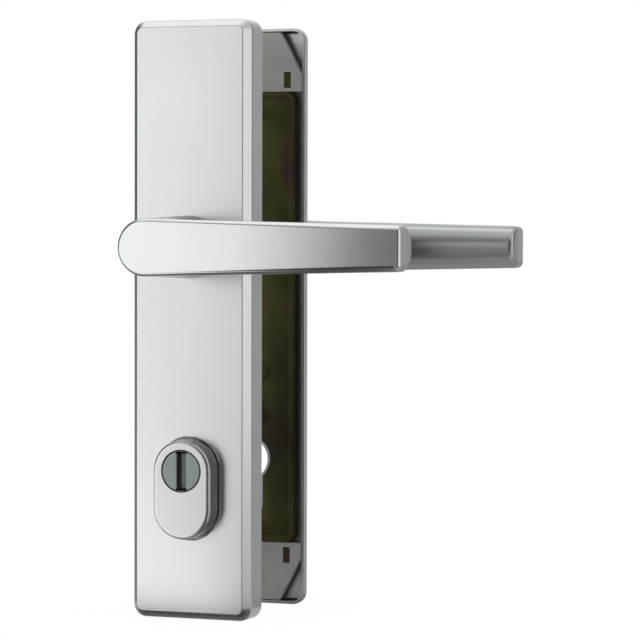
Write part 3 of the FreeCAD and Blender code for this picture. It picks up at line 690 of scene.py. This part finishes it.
cap_outline = stadium(CAP_RADIUS, CAP_LOW_Z, CYLINDER_Z)
cap_profile = rounded([(CAP_REACH, CAP_FRONT), (CAP_DRAFT, CAP_FRONT), (0, FLANGE_FRONT),
                       (0, FLANGE_BACK), (CAP_WALL, FLANGE_BACK), (CAP_WALL, CAP_INSIDE)],
                      [0, 1.5, 0, 0, 0, 0], closed=False, steps=8)
disc_hole = circle(DISC_HOLE, 0, CYLINDER_Z, 80)
hole_profile = rounded([(-HOLE_REACH, CAP_FRONT), (0, CAP_FRONT), (0, CAP_INSIDE)], [0, 0.18, 0],
                       closed=False, steps=4)
rim = CAP_RADIUS + 1.6
low = CAP_LOW_Z - rim
high = CYLINDER_Z + rim
flange_outline = rounded(
    [(-rim, low), (rim, low), (rim, EAR_LOW), (EAR_END, EAR_LOW), (EAR_END, EAR_HIGH), (rim, EAR_HIGH),
     (rim, high), (-rim, high), (-rim, EAR_HIGH), (-EAR_END, EAR_HIGH), (-EAR_END, EAR_LOW), (-rim, EAR_LOW)],
    0.5, steps=2)
flange_hole = stadium(CAP_RADIUS - CAP_WALL / 2, CAP_LOW_Z, CYLINDER_Z)
guard_surfaces = [
    band(cap_outline, cap_profile), band(disc_hole, hole_profile),
    flat_face(CAP_FRONT, inset(cap_outline, CAP_REACH), [inset(disc_hole, -HOLE_REACH)]),
    flat_face(CAP_INSIDE, inset(cap_outline, CAP_WALL), [inset(disc_hole, 0)]),
    *slab(flange_outline, FLANGE_FRONT, FLANGE_BACK, [flange_hole])]
guard_cap = piece("guard_cap", guard_surfaces, "guard", ["cylinder_cover"])

# %% [markdown]
# ## The turning disc
# A disc turns with the key in the guard's face, and a flange behind the face keeps it in. It is
# drawn a little smaller than the solid, and its slot a little wider, so that the dark ring and the
# slot are as wide as in the photograph.

# %% Build the turning disc
DISC_FRONT = -23.0
DISC_SHOULDER = -20.6
DISC_BACK = -18.6
DISC_RADIUS = 8.45
DISC_FLANGE = 1.55
DISC_REACH = 1.0
SLOT_WIDE = 2.0
SLOT_HIGH = 7.5
SLOT_REACH = 0.6
SLOT_BEVEL = 0.25
disc_outline = circle(DISC_RADIUS, 0, CYLINDER_Z, 80)
disc_profile = rounded([(DISC_REACH, DISC_FRONT), (0, DISC_FRONT), (0, DISC_SHOULDER),
                        (-DISC_FLANGE, DISC_SHOULDER), (-DISC_FLANGE, DISC_BACK)],
                       [0, 0.35, 0, 0, 0], closed=False, steps=5)
slot_outline = rectangle(SLOT_WIDE, CYLINDER_Z - SLOT_HIGH, CYLINDER_Z + SLOT_HIGH, 0.35, steps=3)
slot_profile = rounded([(-SLOT_REACH, DISC_FRONT), (-SLOT_BEVEL, DISC_FRONT), (0, DISC_FRONT + SLOT_BEVEL),
                        (0, DISC_BACK)], [0, 0.1, 0.1, 0], closed=False, steps=3)
disc_surfaces = [
    band(disc_outline, disc_profile), band(slot_outline, slot_profile),
    flat_face(DISC_FRONT, inset(disc_outline, DISC_REACH), [inset(slot_outline, -SLOT_REACH)]),
    flat_face(DISC_BACK, inset(disc_outline, -DISC_FLANGE), [inset(slot_outline, 0)])]
key_disc = piece("key_disc", disc_surfaces, "rotor", ["rotor_disc"])

# %% [markdown]
# ## The shutter in the key slot
# The slot isn't open: a sprung shutter closes it until the key pushes in, so that no dust gets to
# the lock. It lies 2.6 mm below the disc's face, where the slot's walls shade it. It is a plain
# slab just smaller than the slot, and it turns with the disc.

# %% Build the shutter
SHUTTER_FRONT = -20.4
SHUTTER_BACK = DISC_BACK - 0.1
SHUTTER_WIDE = 1.95
SHUTTER_HIGH = 7.4
shutter_outline = rectangle(SHUTTER_WIDE, CYLINDER_Z - SHUTTER_HIGH, CYLINDER_Z + SHUTTER_HIGH, 0.3, steps=2)
key_shutter = piece("key_shutter", slab(shutter_outline, SHUTTER_FRONT, SHUTTER_BACK), "rotor")

# %% [markdown]
# ## Materials
# A material starts from what the surface is and how it was made. Colours are written as sRGB hex
# values, as a colour picker shows them, and one function turns them to the linear values that the
# shader computes with. One more function adds a node with its settings and links. The rest are
# short forms of it for what comes up again.

# %% Colour and node helpers
def srgb(code):
    """Linear RGBA from a hex colour: each channel is ((c + 0.055) / 1.055) ** 2.4 above its straight foot."""
    channels = np.array([int(code[i:i + 2], 16) for i in (1, 3, 5)]) / 255
    linear = np.where(channels <= 0.04045, channels / 12.92, ((channels + 0.055) / 1.055) ** 2.4)
    return (*linear.tolist(), 1.0)


def add(tree, kind, settings=None, links=None):
    """Adds one node, sets its properties and sockets, and links other nodes' outputs into it."""
    made = tree.nodes.new(kind)
    for key, value in (settings or {}).items():
        if isinstance(key, int) or key in made.inputs:
            made.inputs[key].default_value = value
        else:
            setattr(made, key, value)
    for key, source in (links or {}).items():
        tree.links.new(source, made.inputs[key])
    return made


def ramp(tree, source, stops):
    """Colour of a ramp with (position, colour) stops."""
    made = add(tree, "ShaderNodeValToRGB", links={"Fac": source})
    elements = made.color_ramp.elements
    while len(elements) < len(stops):
        elements.new(0.5)
    for element, (position, colour) in zip(elements, stops):
        element.position = position
        element.color = colour
    return made.outputs["Color"]


def two_tones(tree, source, tones):
    """Ramp between two hex colours over the middle of a noise."""
    return ramp(tree, source, [(0.3, srgb(tones[0])), (0.7, srgb(tones[1]))])


def start_material(name, settings):
    """New material with one shader, and object coordinates in metres for its patterns."""
    made = bpy.data.materials.new(name)
    made.use_nodes = True
    tree = made.node_tree
    tree.nodes.clear()
    where = add(tree, "ShaderNodeTexCoord").outputs["Object"]
    shader = add(tree, "ShaderNodeBsdfPrincipled", settings)
    add(tree, "ShaderNodeOutputMaterial", links={"Surface": shader.outputs["BSDF"]})
    return made, tree, where, shader


def noise(tree, where, size_mm, detail=2.0, stretch=None):
    """Noise whose features are about size_mm across; stretch makes them longer along an axis."""
    if stretch:
        where = add(tree, "ShaderNodeMapping", {"Scale": stretch}, {"Vector": where}).outputs["Vector"]
    settings = {"Scale": 1000 / size_mm, "Detail": detail}
    return add(tree, "ShaderNodeTexNoise", settings, {"Vector": where}).outputs["Fac"]


def spread(tree, source, low, high):
    """Turns noise, which stays near its middle, into values from low to high."""
    return add(tree, "ShaderNodeMapRange", {"From Min": 0.3, "From Max": 0.7, "To Min": low, "To Max": high},
               {"Value": source}).outputs["Result"]


def fade(tree, source, start, end):
    """0 at the start value of the source and 1 at its end value, straight between them."""
    return add(tree, "ShaderNodeMapRange", {"From Min": start, "From Max": end}, {"Value": source}).outputs[0]


def maths(tree, operation, *values):
    """One operation on values in order, each a number or another node's output."""
    numbers = {i: v for i, v in enumerate(values) if isinstance(v, float)}
    sources = {i: v for i, v in enumerate(values) if i not in numbers}
    return add(tree, "ShaderNodeMath", {"operation": operation, **numbers}, sources).outputs[0]


def dress(tree, shader, colour, roughness, height, distance_mm, strength):
    """Links a colour and a roughness to the shader, and a height as a relief of that many mm."""
    settings = {"Strength": strength, "Distance": distance_mm * MM}
    bump = add(tree, "ShaderNodeBump", settings, {"Height": height})
    tree.links.new(colour, shader.inputs["Base Color"])
    tree.links.new(roughness, shader.inputs["Roughness"])
    tree.links.new(bump.outputs["Normal"], shader.inputs["Normal"])


print("mid grey is", round(srgb("#808080")[0], 3), "in linear light")

# %% [markdown]
# ### Satin anodised aluminium
# The plates, levers and guard are etched matt and anodised. The etch leaves a fine even grain, so
# reflections are soft but still directional: flats look like brushed paper, and edges glint. A
# grain of 0.1 mm is too fine to show, so it is drawn at 0.6 mm, and a slow drift of the roughness
# over 45 mm keeps large flats from looking printed. The levers' flat fronts are the smoothest and
# their round backs rougher, so the roughness changes where the side walls end.

# %% Satin anodised aluminium
MID_LEVERS = (OUTER_FACE + INNER_FACE) / 2
WALLS_END = (INNER_FACE - OUTER_FACE) / 2 + LEVER_REACH - WALL_DEPTH


def rounder_back(tree, where):
    """0 on the levers' flat fronts and side walls and 1 on their backs, by the distance from mid-door."""
    y = add(tree, "ShaderNodeSeparateXYZ", links={0: where}).outputs["Y"]
    distance = maths(tree, "ABSOLUTE", maths(tree, "SUBTRACT", y, MID_LEVERS * MM))
    return fade(tree, distance, (WALLS_END + 0.5) * MM, (WALLS_END - 1.5) * MM)


def satin_anodised_aluminium(name, tones, roughness, back_roughness=None):
    """Tone and roughness drift together, and the grain adds roughness and a faint relief."""
    made, tree, where, shader = start_material(name, {"Metallic": 1.0})
    drift = noise(tree, where, 45)
    grain = noise(tree, where, 0.6, 3.0)
    slow = spread(tree, drift, roughness - 0.02, roughness + 0.02)
    total = maths(tree, "ADD", slow, spread(tree, grain, -0.015, 0.015))
    if back_roughness:
        rougher = maths(tree, "MULTIPLY", rounder_back(tree, where), back_roughness - roughness)
        total = maths(tree, "ADD", total, rougher)
    dress(tree, shader, two_tones(tree, drift, tones), total, grain, 0.004, 0.06)
    return made


plate_aluminium = satin_anodised_aluminium("satin_anodised_plate", ("#dfe3e1", "#e4e7e5"), 0.31)
lever_aluminium = satin_anodised_aluminium("satin_anodised_lever", ("#cacecd", "#ced1d0"), 0.15, 0.32)
guard_aluminium = satin_anodised_aluminium("satin_anodised_guard", ("#d6dad8", "#dbdedc"), 0.3)
print("anodised finishes made")

# %% [markdown]
# ### Steels
# Ground and plated steel shows fine parallel grinding lines, so its noise is drawn out fifty times
# along Z. Small turned parts are bright zinc, and spring steel is darker, with a film of oil. The
# tray is passivated in a yellow chromate bath: a dark olive film that drifts to brown and violet
# with its thickness, as oil on water does. A ramp over one noise draws that.

# %% Steels
def ground_steel(name, tones, roughness, line_mm=0.5):
    """Lines that vary the roughness and the relief, on a tone that clouds over 18 mm."""
    made, tree, where, shader = start_material(name, {"Metallic": 1.0})
    lines = noise(tree, where, line_mm, 2.0, (1.0, 1.0, 0.02))
    colour = two_tones(tree, noise(tree, where, 18), tones)
    dress(tree, shader, colour, spread(tree, lines, roughness - 0.06, roughness + 0.06), lines, 0.02, 0.3)
    return made


def chromated_sheet(name):
    """Dark olive sheet steel with slow patches of other tints."""
    made, tree, where, shader = start_material(name, {"Metallic": 0.85})
    patches = noise(tree, where, 26, 3.0, (1.0, 1.0, 0.45))
    colour = ramp(tree, patches, [(0.28, srgb("#4a4038")), (0.42, srgb("#5a5c36")), (0.5, srgb("#68683e")),
                                  (0.58, srgb("#6c5442")), (0.66, srgb("#5c4c55")), (0.76, srgb("#484844"))])
    fine = noise(tree, where, 1.2, 4.0)
    dress(tree, shader, colour, spread(tree, fine, 0.3, 0.44), fine, 0.02, 0.3)
    return made


hardened_steel = ground_steel("ground_hardened_steel", ("#9a9b9c", "#a5a6a6"), 0.38, 0.8)
zinc_steel = ground_steel("bright_zinc_steel", ("#c4c8cb", "#d0d3d4"), 0.28)
spring_steel = ground_steel("oiled_spring_steel", ("#6d6c6e", "#7d7b78"), 0.3)
nickel_steel = ground_steel("matt_nickel_steel", ("#8b9293", "#939a9a"), 0.32, 0.4)
black_steel = ground_steel("black_oxide_steel", ("#26262a", "#302f30"), 0.4)
shutter_steel = ground_steel("browned_shutter_steel", ("#7c8484", "#868c8c"), 0.5, 0.4)
tray_steel = chromated_sheet("chromated_pressed_steel")
print("steels made")

# %% [markdown]
# ### Moulded plastics
# The end pieces are matt grey plastic. A spark eroded mould leaves a fine even grain, which
# spreads the highlights. The bearings are the same process in black, a little smoother.

# %% Moulded plastics
def moulded_plastic(name, tones, roughness):
    """A grain of half a millimetre for roughness and relief, on a tone that clouds over 14 mm."""
    made, tree, where, shader = start_material(name, {"IOR": 1.5})
    grain = noise(tree, where, 0.5)
    colour = two_tones(tree, noise(tree, where, 14), tones)
    dress(tree, shader, colour, spread(tree, grain, roughness - 0.05, roughness + 0.05), grain, 0.03, 0.4)
    return made


grey_plastic = moulded_plastic("moulded_grey_plastic", ("#aaa7a3", "#b2b0ab"), 0.5)
bearing_plastic = moulded_plastic("moulded_black_plastic", ("#1c1c1d", "#232324"), 0.42)
print("plastics made")

# %% [markdown]
# ## Dress the pieces
# New pieces and CAD nodes get their material in the same way, in their material slots. The list of
# new pieces also gives the slot of the record that each finish stands for, which nothing reads.

# %% Assign materials
finishes = [
    ([outer_plate, inner_plate], plate_aluminium, "satin_aluminium"),
    ([outer_handle, inner_handle], lever_aluminium, "satin_aluminium"),
    ([guard_cap], guard_aluminium, "satin_aluminium"),
    ([key_disc], nickel_steel, "nickel_steel"),
    ([key_shutter], shutter_steel, "nickel_steel"),
    ([steel_tray, tray_tongues], tray_steel, "passivated_steel"),
    ([top_end, bottom_end], grey_plastic, "grey_plastic")]
for objects, finish, slot_name in finishes:
    for obj in objects:
        obj.data.materials.append(finish)

by_slot = {
    "satin_aluminium": plate_aluminium, "hardened_steel": hardened_steel, "zinc_steel": zinc_steel,
    "spring_steel": spring_steel, "passivated_steel": tray_steel, "grey_plastic": grey_plastic,
    "bearing_plastic": bearing_plastic, "black_steel": black_steel, "nickel_steel": nickel_steel}
for part in frame["record"]["subparts"]:
    node = frame["nodes"][part["node"]]
    node.data.materials.clear()
    node.data.materials.append(by_slot[part["material_slot"]])

# %% [markdown]
# ## Camera
# The camera was fitted to the edges of the photograph: the plates' four long edges, the levers'
# ends and the guard. It stands to the right of the set and a little above the spindle, and its
# lens is long, so the two plates are almost the same size.

# %% Camera
CAMERA_PLACE = Vector((480.156, -1132.44, 5.970)) * MM
RIGHT = Vector((0.93539, 0.35362, 0.00238))
UP = Vector((-0.01269, 0.02682, 0.99956))
AHEAD = Vector((-0.35340, 0.93500, -0.02958))
camera_data = bpy.data.cameras.new("camera")
camera_data.lens = 165.70
camera_data.sensor_width = 36.0
camera_data.clip_end = 50.0
camera = bpy.data.objects.new("camera", camera_data)
camera.matrix_world = Matrix.Translation(CAMERA_PLACE) @ Matrix((RIGHT, UP, -AHEAD)).transposed().to_4x4()
bpy.context.scene.collection.objects.link(camera)
bpy.context.scene.camera = camera
print("camera", [round(v, 3) for v in camera.location])

# %% [markdown]
# ## Studio
# Metal shows what stands round it. To the camera the world is plain white. In metal it is a grey
# room: dark in front, where the photographer stands, and lightest behind the set and a little to
# the left, with a ceiling and a ground mixed in by height. Matt surfaces get an even soft light. A
# picture of a studio could do this too, but a ramp over the compass can be tuned by hand.

# %% World
ROOM = [(-180, 0.05), (-150, 0.05), (-120, 0.13), (-54, 0.08), (-40, 0.3), (-33, 0.8), (-10, 0.8), (4, 0.5),
        (24, 0.4), (45, 0.25), (70, 0.12), (100, 0.25), (125, 0.12), (180, 0.05)]
CEILING = (0.6, 0.61, 0.62, 1)
GROUND = (0.12, 0.12, 0.12, 1)
SOFT_LIGHT = 0.65


def greys(levels):
    """Ramp stops from (position, grey level) pairs."""
    return [(position, (level, level, level, 1)) for position, level in levels]


def by_compass(tree, where, levels):
    """Grey level by the compass angle atan2(x, y) of a direction or place, and its three axes."""
    axis = add(tree, "ShaderNodeSeparateXYZ", links={0: where}).outputs
    around = fade(tree, maths(tree, "ARCTAN2", axis["X"], axis["Y"]), -np.pi, np.pi)
    return ramp(tree, around, greys([(angle / 360 + 0.5, level) for angle, level in levels])), axis


def over(tree, share, colour, below):
    """A plain colour laid over another output, by a share from 0 to 1."""
    return add(tree, "ShaderNodeMixRGB", {"Color2": colour}, {"Fac": share, "Color1": below}).outputs["Color"]


def in_mirrors(tree):
    """1 for a ray that shows in metal or through glass, and 1 for a ray of the camera."""
    ray = add(tree, "ShaderNodeLightPath").outputs
    return maths(tree, "MAXIMUM", ray["Is Glossy Ray"], ray["Is Transmission Ray"]), ray["Is Camera Ray"]


def build_world():
    """White for the camera, the grey room in metal, and an even soft light for matt surfaces."""
    world = bpy.data.worlds.new("studio")
    world.use_nodes = True
    tree = world.node_tree
    tree.nodes.clear()
    mirrored, seen = in_mirrors(tree)
    direction = add(tree, "ShaderNodeTexCoord").outputs["Generated"]
    room, axis = by_compass(tree, direction, ROOM)
    roofed = over(tree, fade(tree, axis["Z"], 0.45, 0.8), CEILING, room)
    whole = over(tree, fade(tree, axis["Z"], -0.1, -0.6), GROUND, roofed)
    soft = add(tree, "ShaderNodeBackground", {"Color": srgb("#f4f6f7"), "Strength": SOFT_LIGHT})
    grey_room = add(tree, "ShaderNodeBackground", {"Strength": 1.0}, {"Color": whole})
    white = add(tree, "ShaderNodeBackground", {"Color": (1, 1, 1, 1), "Strength": 1.0})
    inner = add(tree, "ShaderNodeMixShader", links={0: mirrored, 1: soft.outputs[0], 2: grey_room.outputs[0]})
    outer = add(tree, "ShaderNodeMixShader", links={0: seen, 1: inner.outputs[0], 2: white.outputs[0]})
    add(tree, "ShaderNodeOutputWorld", links={"Surface": outer.outputs[0]})
    bpy.context.scene.world = world


build_world()
print("world with", len(ROOM), "grey levels")

# %% [markdown]
# ### Lamps
# Three area lamps stand for a photographer's soft boxes: a wide one 2.5 m in front on
# the left, a small one near the set on the right, and a strip above that points straight down.
# Glowing planes could do the same. Each lamp is given by its size and by its mirror brightness.

# %% Lamps
def panel(name, place, aim, width, height, radiance):
    """Rectangular soft lamp, in metres, turned towards a point: its power is pi x area x radiance."""
    data = bpy.data.lights.new(name, "AREA")
    data.shape = "RECTANGLE"
    data.size = width
    data.size_y = height
    data.energy = np.pi * width * height * radiance
    lamp = bpy.data.objects.new(name, data)
    lamp.location = place
    lamp.rotation_euler = (Vector(aim) - Vector(place)).to_track_quat("-Z", "Y").to_euler()
    bpy.context.scene.collection.objects.link(lamp)


panel("left_panel", (-2.24, -2.5, 0.45), (-2.24, 0.0, 0.45), width=2.76, height=1.3, radiance=1.45)
panel("right_panel", (0.7, -0.14, 0.1), (0.0, 0.0, 0.0), width=0.35, height=0.9, radiance=0.73)
panel("top_panel", (-0.2, 0.19, 0.8), (-0.2, 0.19, 0.0), width=0.9, height=0.22, radiance=0.8)

# %% [markdown]
# ### Floor
# To the camera the floor is white, with a small share of its own shading, so that a soft shadow
# stays. Metal sees a glow painted with light and shade there instead: painted shade in front of
# the outer plate, pale painted light under and just behind it, painted levels of a room farther
# out, and a patch of painted light in front on the left that a slanted line limits. Distances are
# in metres from the spindle.

# %% Floor
FLOOR_HALF = 6.0
FLOOR_GAP = 0.2
# What metal sees on the floor is painted light and shade: these room levels, the strips near the set and the
# bright patch.
FLOOR_ROOM = [(-180, 0.06), (-150, 0.06), (-110, 0.13), (-20, 0.3), (24, 0.36), (60, 0.3), (90, 0.5),
              (115, 0.5), (135, 0.13), (180, 0.06)]
# Painted shade and painted light in strips across Y: dark in front of the outer plate, pale under and just
# behind it.
PAINTED_SHADE_AND_LIGHT_STRIPS = [(-0.013, 0.06), (-0.006, 0.5), (0.02, 0.45), (0.04, 0.12)]
# The level of the patch of painted light.
PAINTED_LIGHT = (1.25, 1.25, 1.25, 1)
SEEN_SHARE = 0.93
# The paint adds about 0.03 in the open, and with that this level reaches white.
SEEN_WHITE = (1.035, 1.035, 1.035, 1)


def painted_light_patch(tree, axis):
    """1 where the painted light lies, in front on the left as far as the panel: the product of three straight
    fades.
    """
    left = fade(tree, maths(tree, "MULTIPLY_ADD", axis["Y"], -0.4, axis["X"]), 0.046, 0.014)
    front = fade(tree, axis["Y"], -0.018, -0.075)
    before_panel = fade(tree, axis["Y"], -2.6, -2.4)
    return maths(tree, "MULTIPLY", maths(tree, "MULTIPLY", left, front), before_panel)


def painted_floor_glow(tree, where):
    """What metal sees of the floor, a glow painted with light and shade: strips near the set, a room's levels
    beyond, and the patch of painted light.
    """
    far, axis = by_compass(tree, where, FLOOR_ROOM)
    across = fade(tree, axis["Y"], -0.1, 0.1)
    near = ramp(tree, across, greys([((y + 0.1) / 0.2, level) for y, level in PAINTED_SHADE_AND_LIGHT_STRIPS]))
    away = add(tree, "ShaderNodeVectorMath", {"operation": "LENGTH"}, {0: where}).outputs["Value"]
    beyond = fade(tree, away, 0.163, 0.175)
    # Painted strips near the set, and painted room levels beyond them.
    painted_strips_and_room = add(tree, "ShaderNodeMixRGB", links={"Fac": beyond, "Color1": near, "Color2": far})
    return over(tree, painted_light_patch(tree, axis), PAINTED_LIGHT, painted_strips_and_room.outputs["Color"])


def build_floor():
    """One square under the plates: it glows white to the camera and with painted light and shade in metal,
    and is paint to other light.
    """
    z = (PLATE_BOTTOM - FLOOR_GAP) * MM
    corners = [(x * FLOOR_HALF, y * FLOOR_HALF, z) for x, y in ((-1, -1), (1, -1), (1, 1), (-1, 1))]
    mesh = bpy.data.meshes.new("floor")
    mesh.from_pydata(corners, [], [(0, 1, 2, 3)])
    floor = bpy.data.objects.new("floor", mesh)
    bpy.context.scene.collection.objects.link(floor)
    made = bpy.data.materials.new("pale_painted_floor")
    made.use_nodes = True
    tree = made.node_tree
    tree.nodes.clear()
    mirrored, seen = in_mirrors(tree)
    where = add(tree, "ShaderNodeTexCoord").outputs["Object"]
    # White to the camera, and in metal the painted light and shade of the floor.
    shown = over(tree, seen, SEEN_WHITE, painted_floor_glow(tree, where))
    paint = add(tree, "ShaderNodeBsdfDiffuse", {"Color": srgb("#eef0f0")})
    glow = add(tree, "ShaderNodeEmission", links={"Color": shown})
    share = maths(tree, "MULTIPLY_ADD", seen, SEEN_SHARE, mirrored)
    mixed = add(tree, "ShaderNodeMixShader", links={0: share, 1: paint.outputs[0], 2: glow.outputs[0]})
    add(tree, "ShaderNodeOutputMaterial", links={"Surface": mixed.outputs[0]})
    mesh.materials.append(made)


build_floor()
print("floor", FLOOR_HALF * 2, "m wide,", FLOOR_GAP, "mm under the plates")

# %% [markdown]
# ## Finish
# Standard view transform keeps colours as they are written.

bpy.context.scene.view_settings.view_transform = "Standard"
